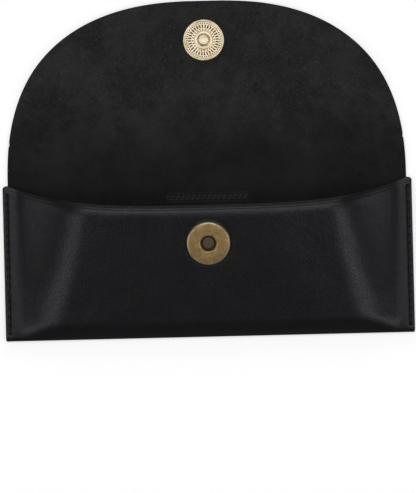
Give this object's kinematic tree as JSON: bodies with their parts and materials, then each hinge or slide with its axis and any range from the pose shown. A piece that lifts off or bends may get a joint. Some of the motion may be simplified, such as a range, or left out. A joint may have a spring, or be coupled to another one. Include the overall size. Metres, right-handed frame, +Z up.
{
  "type": "soft pouch glasses case",
  "caption": "Soft leather envelope case for glasses, with a folded pouch, sewn sides, a round flap and a magnetic snap, lying open.",
  "frame": {"origin": "on the table, under the middle of the open case's outline", "axes": "+X along the mouth and the folds, +Y from the bottom fold to the flap's tip, +Z up out of the table"},
  "size_m": [0.172, 0.1416, 0.0192],
  "materials": {
    "grain_leather": "smooth black grain leather, satin",
    "flesh_leather": "black suede-like flesh side, matt",
    "waxed_thread": "waxed black thread",
    "antique_brass": "antique brass plate, brushed and dulled",
    "pale_brass": "pale gold plate, lightly worn",
    "plated_steel": "plated sheet steel",
    "magnet": "black ferrite"
  },
  "bodies": {
    "pouch": {"front_panel": "grain_leather", "back_panel": "grain_leather", "left_seam_thread": "waxed_thread", "right_seam_thread": "waxed_thread", "socket_cup": "antique_brass", "socket_magnet": "magnet", "socket_pole": "plated_steel", "socket_rivet": "antique_brass"},
    "spine": {"flap_spine": "flesh_leather"},
    "flap": {"flap_panel": "flesh_leather", "plug_disc": "pale_brass", "plug_plate": "plated_steel", "plug_pin": "pale_brass", "plug_rivet": "pale_brass"}
  },
  "joints": [
    {"name": "back_fold", "type": "hinge", "parent": "pouch", "child": "spine", "pos_m": [0, -0.0008, 0.0009], "axis": [1, 0, 0], "range_deg": [0, 95.85]},
    {"name": "top_fold", "type": "hinge", "parent": "spine", "child": "flap", "pos_m": [0, 0.02441, 0.0009], "axis": [1, 0, 0], "range_deg": [0, 96.88]}
  ],
  "couplings": [
    {"joint": "top_fold", "follows": "back_fold", "ratio": 1.0106}
  ]
}
